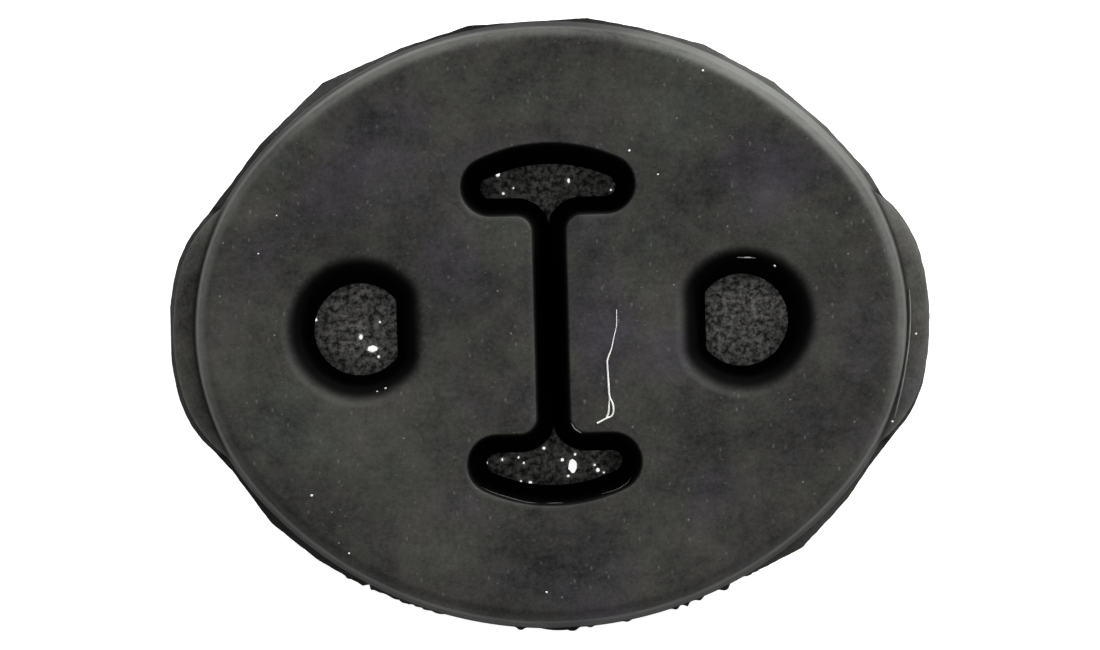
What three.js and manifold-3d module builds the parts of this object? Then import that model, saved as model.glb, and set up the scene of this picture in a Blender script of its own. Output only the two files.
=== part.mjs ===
// Exhaust hanger: one block of moulded rubber that carries an exhaust pipe from a car's floor.
// A rod from the car goes through one bore and a rod from the pipe through the other. The I-shaped
// slot between them leaves two bands of rubber, top and bottom, that stretch under the load.
//
// Millimetres, +Z up. The hanger lies on its back face with its bores upright: X runs through both
// bores, Y along the slot, and the origin is at the middle of the back face. The mould opens at
// mid-thickness, so every wall has draft both ways from there and the two faces are alike.

import * as THREE from "three";
import Module from "manifold-3d";

const wasm = await Module();
wasm.setup();

// Block
const thickness = 30;
const boreSpacing = 44;
// from a bore's centre to the end of the face, along X
const endMargin = 18.2;
// rubber between a slot head and the edge of the face, along Y: the band that carries the load
const bandWall = 13.1;
// how much smaller the radius of the oval's ends is than half its height
const endTuck = 5.5;
const faceEdgeRadius = 1.5;
const outerDraftRun = 1.2;

// Thin fin squeezed out where the mould halves meet
const flashProud = 0.4;
const flashRoot = 0.7;
const flashTip = 0.24;

// Lugs: rounded bulges at the ends, set down from both faces. Each is an oval pad whose outer side
// stands proud of the block; the rest of it is inside.
const lugProud = 3.2;
const lugRecess = 7;
const lugDepth = 28.8;
const lugSpan = 34.4;
const lugEndTuck = 0.4;
const lugEdgeRadius = 4;
const lugDraftRun = 0.1;

// Bores: D-shaped, with the flat towards the slot. Sizes are those of the waist at mid-thickness.
const boreRadius = 5.3;
const boreFlatDistance = 4.2;
const boreCornerRadius = 1.0;
const boreDraftRun = 1.6;
const boreLipRadius = 2.0;

// Slot: a web with a crowned head at each end. Sizes are those of the mouth, before its lip.
const webWidth = 3.9;
const webLength = 24.9;
const headLength = 20.0;
const headEndRadius = 3.4;
const headCrownHeight = 8.25;
const webFilletRadius = 1.85;
const slotDraftRun = 2.2;
const slotLipRadius = 0.25;
// the web's walls almost meet at mid-thickness
const slitWidth = 0.3;

// Segments
const blockEndSegments = 20;
const blockCrownSegments = 24;
const lugEndSegments = 16;
const lugCrownSegments = 6;
const boreSegments = 22;
const cornerSegments = 3;
const filletSegments = 4;
const headEndSegments = 6;
const headCrownSegments = 4;
const faceEdgeSegments = 4;
const lugEdgeSegments = 4;
const lipSegments = 3;
// how far a core reaches past the face that it cuts
const coreOvershoot = 1;
// points nearer than this are one
const samePoint = 1e-6;

const halfThickness = thickness / 2;
const boreX = boreSpacing / 2;
const faceHalfWidth = boreX + endMargin;
const headTopY = webLength / 2 + headCrownHeight;
const faceHalfHeight = headTopY + bandWall;

// Points along an arc about a centre, from one angle to another, both ends included.
function arc(cx, cy, radius, from, to, segments) {
  const points = [];
  for (let i = 0; i <= segments; i += 1) {
    const angle = from + ((to - from) * i) / segments;
    points.push(new THREE.Vector2(cx + radius * Math.cos(angle), cy + radius * Math.sin(angle)));
  }
  return points;
}

// An outline that is alike in all four quadrants, from its first quadrant.
function mirrorQuadrants(quarter) {
  const left = quarter.map((p) => new THREE.Vector2(-p.x, p.y)).reverse();
  const half = [...quarter, ...left];
  const whole = [...half, ...half.map((p) => p.clone().negate())];
  return whole.filter((p, i) => p.distanceTo(whole[(i + 1) % whole.length]) > samePoint);
}

// An oval of four arcs that meet tangentially, grown outwards, with its long axis along X. Its ends
// have a radius that is one tuck smaller than half its width.
function oval(halfLength, halfWidth, tuck, grow, endSegments, crownSegments) {
  const endRadius = halfWidth - tuck;
  const endX = halfLength - endRadius;
  const crownDrop = (endX * endX - tuck * tuck) / (2 * tuck);
  const crownRadius = halfWidth + crownDrop;
  const joint = Math.atan2(crownDrop, endX);
  const end = arc(endX, 0, endRadius + grow, 0, joint, endSegments / 2);
  const crown = arc(0, -crownDrop, crownRadius + grow, joint, Math.PI / 2, crownSegments / 2);
  return mirrorQuadrants([...end, ...crown.slice(1)]);
}

// The face's outline, grown outwards.
function blockOutline(grow) {
  return oval(faceHalfWidth, faceHalfHeight, endTuck, grow, blockEndSegments, blockCrownSegments);
}

// A lug's outline, grown outwards: an oval that stands across the end of the block.
function lugOutline(grow) {
  const middleX = faceHalfWidth + lugProud - lugDepth / 2;
  const lying = oval(lugSpan / 2, lugDepth / 2, lugEndTuck, grow, lugEndSegments, lugCrownSegments);
  return lying.map((p) => new THREE.Vector2(middleX - p.y, p.x));
}

// A bore's outline, grown outwards: a circle with a flat towards the slot and rounded corners.
function boreOutline(grow) {
  const cornerX = boreFlatDistance - boreCornerRadius;
  const reach = boreRadius - boreCornerRadius;
  const cornerY = Math.sqrt(reach * reach - cornerX * cornerX);
  const joint = Math.atan2(cornerY, -cornerX);
  const corner = boreCornerRadius + grow;
  return [
    ...arc(boreX, 0, boreRadius + grow, -joint, joint, boreSegments).slice(0, -1),
    ...arc(boreX - cornerX, cornerY, corner, joint, Math.PI, cornerSegments),
    ...arc(boreX - cornerX, -cornerY, corner, Math.PI, 2 * Math.PI - joint, cornerSegments).slice(0, -1),
  ];
}

// The slot's outline, grown outwards. Shrunk outlines stop at the slit that the web closes to.
function slotOutline(grow) {
  const headInnerY = webLength / 2;
  const filletX = webWidth / 2 + webFilletRadius;
  const filletY = headInnerY - webFilletRadius;
  const filletRadius = webFilletRadius - grow;
  const webX = Math.max(webWidth / 2 + grow, slitWidth / 2);
  const filletStart = Math.acos(Math.max((webX - filletX) / filletRadius, -1));
  const endX = headLength / 2 - headEndRadius;
  const endY = headInnerY + headEndRadius;
  const rise = headTopY - endY;
  const drop = rise - headEndRadius;
  const crownRadius = headEndRadius + (endX * endX + drop * drop) / (2 * drop);
  const crownY = headTopY - crownRadius;
  const joint = Math.atan2(endY - crownY, endX);
  return mirrorQuadrants([
    ...arc(filletX, filletY, filletRadius, filletStart, Math.PI / 2, filletSegments),
    ...arc(endX, endY, headEndRadius + grow, -Math.PI / 2, joint, headEndSegments),
    ...arc(0, crownY, crownRadius + grow, joint, Math.PI / 2, headCrownSegments).slice(1),
  ]);
}

// The upper half of a drafted wall, from its rounded edge down to mid-thickness: each step has a
// height and how far the wall stands out from where it would meet the face with no rounding.
function draftedWall(height, run, edgeRadius, segments) {
  const draft = Math.atan2(run, height);
  const setBack = edgeRadius * Math.tan((Math.PI / 2 - draft) / 2);
  const rounding = arc(-setBack, height - edgeRadius, edgeRadius, Math.PI / 2, draft, segments);
  return rounding.map((p) => ({ z: p.y, out: p.x }));
}

// A wall's steps from the top face to the bottom one, which mirrors it.
function bothHalves(upper) {
  const lower = upper.filter((step) => step.z > 0).map((step) => ({ z: -step.z, out: step.out }));
  return [...upper, ...lower.reverse()];
}

// The two steps of the flash above mid-thickness.
function flashSteps(height, run) {
  const rootZ = flashRoot / 2;
  const rootOut = run * (1 - rootZ / height);
  return [{ z: rootZ, out: rootOut }, { z: flashTip / 2, out: run + flashProud }];
}

// A closed solid through outlines that all have as many points, one at each step's height.
function loft(outline, steps) {
  const rings = steps.map((step) => outline(step.grow).map((p) => [p.x, p.y, step.z]));
  const count = rings[0].length;
  const triangles = [];
  for (let ring = 0; ring < rings.length - 1; ring += 1) {
    for (let i = 0; i < count; i += 1) {
      const a = ring * count + i;
      const b = ring * count + ((i + 1) % count);
      triangles.push([a, a + count, b], [b, a + count, b + count]);
    }
  }
  const lastRing = (rings.length - 1) * count;
  const cap = THREE.ShapeUtils.triangulateShape(outline(steps[0].grow), []);
  const lastCap = THREE.ShapeUtils.triangulateShape(outline(steps[steps.length - 1].grow), []);
  cap.forEach(([a, b, c]) => triangles.push([a, b, c]));
  lastCap.forEach(([a, b, c]) => triangles.push([lastRing + a, lastRing + c, lastRing + b]));
  return new wasm.Manifold(new wasm.Mesh({
    numProp: 3,
    vertProperties: new Float32Array(rings.flat(2)),
    triVerts: new Uint32Array(triangles.flat()),
  }));
}

// The same solid on the other end of the hanger.
function otherEnd(solid) {
  return solid.rotate([0, 0, 180]);
}

function makeBlock() {
  const upper = [
    ...draftedWall(halfThickness, outerDraftRun, faceEdgeRadius, faceEdgeSegments),
    ...flashSteps(halfThickness, outerDraftRun),
  ];
  const steps = bothHalves(upper).map(({ z, out }) => ({ z, grow: out }));
  return loft(blockOutline, steps);
}

function makeLug() {
  const height = halfThickness - lugRecess;
  const upper = [
    ...draftedWall(height, lugDraftRun, lugEdgeRadius, lugEdgeSegments),
    ...flashSteps(height, lugDraftRun),
  ];
  const steps = bothHalves(upper).map(({ z, out }) => ({ z, grow: out }));
  return loft(lugOutline, steps);
}

// What a core leaves behind: an opening that narrows from a rounded mouth on each face to a waist.
function makeCore(outline, run, lipRadius, waistGrow) {
  const wall = draftedWall(halfThickness, run, lipRadius, lipSegments);
  const mouth = { z: halfThickness + coreOvershoot, out: wall[0].out };
  const upper = [mouth, ...wall, { z: 0, out: run }];
  const steps = bothHalves(upper).map(({ z, out }) => ({ z, grow: waistGrow + run - out }));
  return loft(outline, steps);
}

function makeHanger() {
  const lug = makeLug();
  const bore = makeCore(boreOutline, boreDraftRun, boreLipRadius, 0);
  const slot = makeCore(slotOutline, slotDraftRun, slotLipRadius, -slotDraftRun);
  return makeBlock()
    .add(lug)
    .add(otherEnd(lug))
    .subtract(bore)
    .subtract(otherEnd(bore))
    .subtract(slot);
}

function toGeometry(solid) {
  const { numProp, vertProperties, triVerts } = solid.getMesh();
  const positions = new Float32Array((vertProperties.length / numProp) * 3);
  for (let i = 0; i < positions.length / 3; i += 1) {
    positions.set(vertProperties.subarray(i * numProp, i * numProp + 3), i * 3);
  }
  const geometry = new THREE.BufferGeometry();
  geometry.setAttribute("position", new THREE.BufferAttribute(positions, 3));
  geometry.setIndex(new THREE.BufferAttribute(new Uint32Array(triVerts), 1));
  geometry.computeVertexNormals();
  return geometry;
}

const rubber = new THREE.MeshStandardMaterial({ color: 0x3c3c39, roughness: 0.72, metalness: 0 });

const hanger = new THREE.Mesh(toGeometry(makeHanger()), rubber);
hanger.name = "rubber_hanger";
hanger.position.z = halfThickness;

const part = new THREE.Group();
part.add(hanger);

export default part;
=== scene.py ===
"""Looks of a moulded rubber exhaust hanger: the rubber body, what lies on it and the studio.

Shapes are worked out in millimetres, with heights measured from mid-thickness, and are moved into
the frame, in metres, when a piece is made.
"""

import math

import bmesh
import bpy
import numpy as np
from mathutils.geometry import delaunay_2d_cdt
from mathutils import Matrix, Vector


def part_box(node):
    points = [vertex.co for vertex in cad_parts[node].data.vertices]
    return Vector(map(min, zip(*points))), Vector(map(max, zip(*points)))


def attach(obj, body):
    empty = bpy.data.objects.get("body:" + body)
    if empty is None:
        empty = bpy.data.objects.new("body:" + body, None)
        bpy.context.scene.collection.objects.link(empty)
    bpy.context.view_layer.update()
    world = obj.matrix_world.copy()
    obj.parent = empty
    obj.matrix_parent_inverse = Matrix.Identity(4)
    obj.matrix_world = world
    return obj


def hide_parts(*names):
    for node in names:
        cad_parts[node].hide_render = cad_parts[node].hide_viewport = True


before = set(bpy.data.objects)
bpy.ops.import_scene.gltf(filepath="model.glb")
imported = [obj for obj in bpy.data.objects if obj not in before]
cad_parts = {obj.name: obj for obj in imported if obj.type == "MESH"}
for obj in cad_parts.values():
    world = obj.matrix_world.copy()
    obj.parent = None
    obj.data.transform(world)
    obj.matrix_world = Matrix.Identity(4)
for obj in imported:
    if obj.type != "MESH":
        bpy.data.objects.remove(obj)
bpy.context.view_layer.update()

bl_info = {
    "name": "Rubber Exhaust Hanger",
    "version": (1, 0, 0),
    "blender": (4, 5, 0),
    "location": "3D View > Sidebar > Hanger",
    "description": "Builds a moulded rubber exhaust hanger round its packed solid",
    "category": "Add Mesh",
}

MM = 0.001
TAU = 2 * math.pi
QUARTER = math.pi / 2

BODY_LOW, BODY_HIGH = (np.array(corner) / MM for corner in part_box("rubber_hanger"))
BODY_REACH = (BODY_HIGH - BODY_LOW) / 2
HALF_THICKNESS = float(BODY_REACH[2])

# Block, in millimetres: an oval of four arcs
FACE_HALF = (40.2, 33.8)
FACE_TUCK = 5.5
FACE_EDGE_RADIUS = 1.5
BLOCK_DRAFT_RUN = 1.2

# Lugs: oval pads across the ends
LUG_PROUD = 3.2
LUG_HALF = (14.4, 17.2)
LUG_TUCK = 0.4
LUG_HEIGHT = 8.0
LUG_EDGE_RADIUS = 4.0
LUG_DRAFT_RUN = 0.1
# how softly the lugs run into the block
LUG_BLEND = 0.25

# Bores at their waist
BORE_X = 22.0
BORE_RADIUS = 5.3
BORE_FLAT = 4.2
BORE_CORNER = 1.0
BORE_DRAFT_RUN = 1.6
BORE_LIP = 2.0

# Slot at its mouth
WEB_HALF_WIDTH = 1.95
WEB_HALF_LENGTH = 12.45
WEB_FILLET = 1.85
HEAD_HALF_LENGTH = 10.0
HEAD_END_RADIUS = 3.4
HEAD_TOP = 20.7
SLOT_DRAFT_RUN = 2.2
SLOT_LIP = 0.25
SLIT_HALF_WIDTH = 0.15

# Flash: heights of its root and its tip
FLASH_ROOT = 0.35
FLASH_TIP = 0.12
FLASH_LEAST = 0.03
# Where the knife that trimmed the flash turned: degrees round the hanger, and how far the corner
# stands out from the moulded wall.
TRIM_CORNERS = (
    (0, 0.1), (20, 0.3), (24, 0.6), (34, 0.45), (46, 0.7), (60, 0.7), (72, 0.35), (82, 0.5), (90, 0.05),
    (104, 0.5), (117, 0.4), (132, 1.3), (147, 0.7), (155, 0.5), (162, 0.6), (185, 0.5), (196, 0.7),
    (203, 0.4), (214, 0.9), (224, 0.7), (234, 0.5), (245, 0.2), (307, 0.2), (317, 1.15), (328, 0.7),
    (336, 0.4), (343, 0.55), (352, 0.2),
)
# How far the flash stays inside the CAD model's box
BOX_ROOM = 0.02
# Where the flash along the bottom begins to be torn, and where it ends, in degrees
TORN_START = (226, 240)
TORN_END = (304, 314)
# Rough edge of the flash: the pitch of its teeth, how deep they are where it was cut, and how much
# deeper where it is torn. Their number is worked out at one radius.
JAGS = ((0.9, 0.03, 0.08), (0.35, 0.02, 0.1))
JAG_RADIUS = 38
# Shreds of torn flash, and a notch where the reach is below zero: degrees round the hanger, half
# width and reach in millimetres.
SHREDS = (
    (229.8, 0.6, 0.65), (241.4, 0.5, 0.28), (247.0, 0.9, 0.2), (262.8, 0.6, 0.35), (270.3, 2.4, 0.28),
    (272.6, 0.8, 0.45), (276.0, 0.4, 0.2), (283.0, 0.5, 0.2), (292.3, 0.5, 0.32), (294.4, 0.35, 0.42),
    (297.0, 0.5, 0.3), (302.0, 0.7, 0.48), (306.7, 0.5, 0.25), (233.6, 0.35, -0.5),
)

# Path of the lint fibre over the face, in millimetres, and of the strand that splits from it
LINT_PATH = (
    (7.49, 1.52), (7.44, -0.19), (7.31, -0.87), (7.06, -1.78), (6.80, -2.91), (6.32, -4.15),
    (6.29, -4.95), (6.36, -6.89), (6.44, -8.37), (6.76, -9.18), (6.85, -9.98), (6.62, -10.60),
    (6.03, -10.86), (4.93, -11.41),
)
LINT_STRAND = ((6.44, -8.37), (6.36, -9.28), (6.28, -10.19), (6.03, -10.80))

# What the rubber's skin is marked with: near-black painted shade where it lies in an opening, flank on
# the sides, grey bloom and painted highlight where it is paler, and painted shade on the sides and in
# the creases beside the lugs.
MARKS = ("hollow", "flank", "bloom", "painted_shade")

# Grey bloom and painted highlight on the sides and on the flash, strongest towards the upper right:
# direction and half width in degrees, strength, and the depths between which it lies
BLOOM_AND_HIGHLIGHT_PATCHES = (
    (44, 38, 0.47, 0, 30), (122, 34, 0.28, 0, 7), (90, 18, 0.18, 0, 3), (5, 32, 0.2, 0, 5),
    (178, 32, 0.26, 0, 5), (90, 190, 0.05, 0, 3), (134, 28, 0.16, 12.5, 30), (322, 36, 0.15, 12.5, 30),
    (214, 36, 0.06, 12.5, 30), (0, 34, 0.2, 14.4, 30), (180, 34, 0.2, 14.4, 30),
)
# Painted shade on the sides: direction and half width in degrees, strength, and the depths between
# which it thickens
PAINTED_SHADE_PATCHES = ((225, 400, 0.6, 4.5, 9.0), (95, 30, 1.0, 1.5, 6.0), (272, 10, 0.9, 1.0, 6.0))
# Painted shade in the crease beside a lug: strength, where it is thickest by how far the lug stands
# out, and over what width
CREASE_SHADE = 0.8
CREASE_GAP = 0.12
CREASE_WIDTH = 0.22
# How much bloom and painted highlight leaves no painted shade
HIGHLIGHT_OVER_SHADE = 0.15
# Painted highlight on the lips of the openings, and the direction that it faces
LIP_HIGHLIGHT = 0.2
LIP_HIGHLIGHT_FACING = math.radians(228)

# Stains on the face: place, half width and half height in millimetres, and how much darker (below
# zero) or paler they are, and how violet (above zero) or green they are.
STAINS = (
    ((-18.5, 25.5), (7.0, 6.0), -1.1, 0.8),
    ((-24.5, 15.5), (5.5, 6.5), -0.9, 0.9),
    ((25.0, 17.0), (7.0, 4.0), 0.0, 0.8),
    ((17.5, -15.5), (5.0, 6.0), -0.8, 0.6),
    ((15.0, -23.5), (4.5, 6.0), -0.5, 0.5),
    ((1.5, -27.5), (9.5, 4.5), -0.9, 0.3),
    ((5.8, 2.0), (3.5, 9.0), -0.35, 0.6),
    ((-11.5, 7.0), (4.5, 6.5), 0.1, 0.8),
    ((12.8, -4.4), (3.2, 4.2), 0.8, 0.5),
    ((15.0, 22.0), (6.0, 4.5), 0.5, -0.7),
    ((-29.0, -9.5), (6.5, 5.0), 0.35, -0.8),
    ((-22.5, -16.5), (6.0, 4.0), 0.0, -0.3),
    ((-9.0, -26.0), (7.5, 3.0), 0.5, -0.2),
)
# How much a stain's tone of 1 changes the rubber's brightness
STAIN_DEPTH = 0.36

# Crumbs of lint on the face and on the right lug, in millimetres, with how wide each is
CRUMBS = (
    ((41.75, -2.1), 0.3), ((38.8, -12.1), 0.28),
    ((-27.8, -18.8), 0.34), ((-1.3, -30.5), 0.3), ((18.0, 28.5), 0.28), ((9.4, 19.6), 0.3),
    ((12.6, 16.8), 0.24), ((-33.2, 8.9), 0.2), ((-23.7, -25.5), 0.22), ((-31.0, 13.2), 0.18),
)

# Where x is more than this, a crumb lies on the lug
ON_LUG = 38.5
# Half sizes of a crumb that is 1 wide, and how high its middle lies
CRUMB_HALF = (0.5, 0.42, 0.22)
CRUMB_RISE = 0.15

# Pale grains that lie among the grit, seen through the openings: place, half width and half height,
# in millimetres.
GRAINS = (
    ((-27.4, 1.25), 0.17, 0.17), ((-22.2, -0.9), 0.22, 0.3), ((-20.9, -2.3), 0.62, 0.38),
    ((-20.2, -3.25), 0.14, 0.14), ((-19.95, 0.8), 0.12, 0.12), ((-5.75, 17.6), 0.26, 0.24),
    ((2.45, 16.7), 0.14, 0.28), ((-5.2, 15.4), 0.15, 0.15), ((-4.0, 16.0), 0.1, 0.1),
    ((7.35, 15.5), 0.11, 0.11), ((-1.2, -14.4), 0.18, 0.18), ((0.9, -15.8), 0.2, 0.2),
    ((2.1, -16.6), 0.52, 0.85), ((2.4, -15.2), 0.15, 0.15), ((5.0, -17.1), 0.24, 0.24),
    ((4.65, -16.5), 0.13, 0.13), ((-3.6, -16.05), 0.13, 0.13), ((-2.9, -18.35), 0.2, 0.17),
    ((-4.0, -18.2), 0.13, 0.13), ((1.55, -17.7), 0.16, 0.13), ((-7.9, -15.9), 0.11, 0.16),
    ((-4.2, -15.4), 0.1, 0.16), ((-6.1, -15.6), 0.09, 0.18), ((5.7, -17.4), 0.12, 0.1),
)
# How high a grain's middle lies above the floor, and half its height
GRAIN_RISE = 0.1
GRAIN_HALF_HEIGHT = 0.15

# Pale slivers on the walls of the openings that are painted highlights, glints: thickness, places and
# depths below the face, in millimetres. The dull ones are dim glints and the bright ones bright glints.
DIM_GLINT_SLIVERS = (
    (0.07, ((-8.4, -18.4, 1.6), (-6.6, -19.2, 1.7), (-3.7, -20.1, 1.5), (-2.2, -20.35, 1.6))),
    (0.08, ((-1.0, -20.4, 1.9), (0.8, -20.4, 1.8))),
    (0.1, ((5.2, -19.5, 3.2), (6.8, -19.1, 2.4), (8.1, -18.4, 2.6), (8.7, -17.7, 3.3))),
    (0.16, ((2.0, -11.3, 0.3), (2.42, -12.0, 0.3), (3.1, -12.45, 0.3))),
    (0.14, ((21.4, 7.1, 0.75), (23.5, 6.98, 0.75))),
)
BRIGHT_GLINT_SLIVERS = (
    (0.1, ((22.2, 7.1, 0.7), (23.0, 7.05, 0.7))),
    (0.22, ((25.55, 6.1, 0.75), (25.75, 5.95, 0.75))),
    (0.2, ((-19.2, -6.85, 0.65), (-18.95, -6.75, 0.65))),
    (0.15, ((-20.15, -7.15, 0.6), (-19.95, -7.12, 0.6))),
)

# Thread of rubber that lies beside the face on the right lug: places and heights from mid-thickness
THREAD = (
    (41.1, 3.0, 7.7), (41.15, 1.2, 7.95), (41.1, -0.8, 7.95), (40.9, -3.0, 8.0), (40.6, -4.9, 8.0),
    (40.25, -6.8, 7.95), (39.85, -8.6, 7.9), (39.4, -10.3, 7.85), (39.05, -11.7, 7.7),
)

# Depth over which the rubber in an opening turns from weathered to near-black painted shade
HOLLOW_SHADE_DEPTH = 0.14

# Width of the ring of face round an opening's mouth
MOUTH_MARGIN = 0.4

# Half width and half depth of the grit under the hanger, in millimetres
GRIT_HALF = (36, 29)

# Half a side of the floor, in millimetres
FLOOR_HALF = 3000

# Camera: place and height above mid-thickness in metres, turn, and focal length in millimetres
CAMERA_PLACE = (-0.00014, -0.00006)
CAMERA_HEIGHT = 1.32
CAMERA_TURN = math.radians(-1.45)
CAMERA_LENS = 374.7

# How far the whole face lies below the CAD model's, so that the lint on it stays inside the box
FACE_DROP = 0.14

# From where to where, in from the rim, the face sinks to its full depth
DISH_RUN = (0.6, 9.0)
# How far the face sinks towards the mouth of an opening, and over what width
MOUTH_SINK = 0.12
MOUTH_SINK_WIDTH = 3.2

# Depth at which the walls no longer sink with the face
SINK_DEPTH = 6.0

# Finer than a person sees at arm's length, and light enough for one piece
RIM_POINTS = 900
FACE_SPACING = 1.15
SAME_POINT = 1e-6
TUBE_SIDES = 8
# Edges that turn by less than this look smooth
SMOOTH_BELOW = math.radians(40)


def arc(centre, radius, start, end, count):
    """Points along an arc about a centre, both ends included."""
    angles = np.linspace(start, end, count + 1)
    x = centre[0] + radius * np.cos(angles)
    y = centre[1] + radius * np.sin(angles)
    return np.column_stack((x, y))


def mirror_quadrants(quarter):
    """An outline that is alike in all four quadrants, from its first quadrant."""
    left = (quarter * (-1, 1))[::-1]
    half = np.vstack((quarter, left))
    whole = np.vstack((half, -half))
    steps = np.linalg.norm(whole - np.roll(whole, -1, axis=0), axis=1)
    return whole[steps > SAME_POINT]


def oval(half, tuck, grow, count):
    """An oval of four arcs that meet tangentially, grown outwards, with its long axis along X."""
    end_radius = half[1] - tuck
    end_x = half[0] - end_radius
    drop = (end_x * end_x - tuck * tuck) / (2 * tuck)
    crown_radius = half[1] + drop
    joint = math.atan2(drop, end_x)
    end = arc((end_x, 0), end_radius + grow, 0, joint, count)
    crown = arc((0, -drop), crown_radius + grow, joint, QUARTER, count)
    return mirror_quadrants(np.vstack((end, crown[1:])))


def bore_outline(grow):
    """A bore's outline about its own centre: a circle with a flat on its left, grown outwards."""
    corner_x = BORE_FLAT - BORE_CORNER
    corner_y = math.sqrt((BORE_RADIUS - BORE_CORNER) ** 2 - corner_x**2)
    joint = math.atan2(corner_y, -corner_x)
    corner = BORE_CORNER + grow
    flat = np.linspace(corner_y, -corner_y, 14)[1:-1]
    flat_x = np.full(len(flat), -corner_x - corner)
    return np.vstack((
        arc((0, 0), BORE_RADIUS + grow, -joint, joint, 84)[:-1],
        arc((-corner_x, corner_y), corner, joint, math.pi, 6),
        np.column_stack((flat_x, flat)),
        arc((-corner_x, -corner_y), corner, math.pi, TAU - joint, 6)[:-1],
    ))


def right_bore_outline(grow):
    """The right bore's outline in its place."""
    return bore_outline(grow) + (BORE_X, 0)


def left_bore_outline(grow):
    """The left bore's outline in its place: the right one, turned halfway round."""
    return -right_bore_outline(grow)


def slot_outline(grow):
    """The slot's outline, grown outwards; shrunk outlines stop at the slit that the web closes to."""
    fillet_x = WEB_HALF_WIDTH + WEB_FILLET
    fillet_y = WEB_HALF_LENGTH - WEB_FILLET
    fillet = WEB_FILLET - grow
    web_x = max(WEB_HALF_WIDTH + grow, SLIT_HALF_WIDTH)
    fillet_start = math.acos(max((web_x - fillet_x) / fillet, -1))
    end_x = HEAD_HALF_LENGTH - HEAD_END_RADIUS
    end_y = WEB_HALF_LENGTH + HEAD_END_RADIUS
    drop = HEAD_TOP - end_y - HEAD_END_RADIUS
    crown_radius = HEAD_END_RADIUS + (end_x**2 + drop**2) / (2 * drop)
    crown_y = HEAD_TOP - crown_radius
    joint = math.atan2(end_y - crown_y, end_x)
    rounding = arc((fillet_x, fillet_y), fillet, fillet_start, QUARTER, 9)
    end = arc((end_x, end_y), HEAD_END_RADIUS + grow, -QUARTER, joint, 16)
    crown = arc((0, crown_y), crown_radius + grow, joint, QUARTER, 14)
    web_side = np.linspace((web_x, 0), rounding[0], 18)[:-1]
    shoulder = np.linspace(rounding[-1], end[0], 5)[1:-1]
    return mirror_quadrants(np.vstack((web_side, rounding, shoulder, end, crown[1:])))


def wall_out(height, top, run, edge_radius):
    """How far a drafted wall with a rounded top edge stands out, at a height above mid-thickness."""
    draft = math.atan2(run, top)
    set_back = edge_radius * math.tan((QUARTER - draft) / 2)
    rise = height - (top - edge_radius)
    if rise > edge_radius * math.sin(draft):
        return -set_back + math.sqrt(max(edge_radius**2 - rise**2, 0))
    return run * (1 - height / top)


def rounding_heights(top, run, edge_radius, count):
    """Heights of the rings that follow a wall's rounded top edge, from the top down."""
    draft = math.atan2(run, top)
    angles = np.linspace(QUARTER, draft, count + 1)
    return list(top - edge_radius + edge_radius * np.sin(angles))


def soft_max(a, b, width):
    """The larger of two values, with the change from one to the other rounded."""
    overlap = np.maximum(width - np.abs(a - b), 0) / width
    return np.maximum(a, b) + overlap * overlap * width / 4


def smooth_step(low, high, value):
    """From 0 at low to 1 at high, level at both ends."""
    t = np.clip((value - low) / (high - low), 0, 1)
    return t * t * (3 - 2 * t)


def reach_of(outline, angles, **beyond):
    """How far an outline reaches from the origin at each angle."""
    at = np.arctan2(outline[:, 1], outline[:, 0])
    order = np.argsort(at)
    reach = np.linalg.norm(outline, axis=1)
    return np.interp(angles, at[order], reach[order], **beyond)


def block_reach(angles, height):
    """How far the block reaches from the hanger's axis at each angle and a height."""
    grow = wall_out(abs(height), HALF_THICKNESS, BLOCK_DRAFT_RUN, FACE_EDGE_RADIUS)
    return reach_of(oval(FACE_HALF, FACE_TUCK, grow, 300), angles, period=TAU)


def from_direction(angles, direction):
    """How far angles turn from a direction, between minus and plus half a turn."""
    return (angles - direction + math.pi) % TAU - math.pi


def lug_reach(angles, height):
    """How far the lugs reach from the hanger's axis, or 0 where there is none."""
    if abs(height) >= LUG_HEIGHT:
        return np.zeros(len(angles))
    grow = wall_out(abs(height), LUG_HEIGHT, LUG_DRAFT_RUN, LUG_EDGE_RADIUS)
    lying = oval((LUG_HALF[1], LUG_HALF[0]), LUG_TUCK, grow, 200)
    middle = FACE_HALF[0] + LUG_PROUD - LUG_HALF[0]
    pad = np.column_stack((middle - lying[:, 1], lying[:, 0]))
    outer = pad[pad[:, 0] >= middle]
    sides = [from_direction(angles, direction) for direction in (0, math.pi)]
    return np.maximum(*(reach_of(outer, side, left=0, right=0) for side in sides))


def moulded_reach(angles, height):
    """How far the block and its lugs together reach, with the corner between them rounded."""
    return soft_max(block_reach(angles, height), lug_reach(angles, height), LUG_BLEND)


def chord_reach(corners, angles):
    """How far the polygon with these corners reaches from the origin at each angle."""
    at = np.arctan2(corners[:, 1], corners[:, 0]) % TAU
    corners, at = corners[np.argsort(at)], np.sort(at)
    after = np.searchsorted(at, angles % TAU) % len(at)
    start, end = corners[after - 1], corners[after]
    along = end - start
    ray = np.column_stack((np.cos(angles), np.sin(angles)))
    across = start[:, 0] * along[:, 1] - start[:, 1] * along[:, 0]
    return across / (ray[:, 0] * along[:, 1] - ray[:, 1] * along[:, 0])


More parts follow.
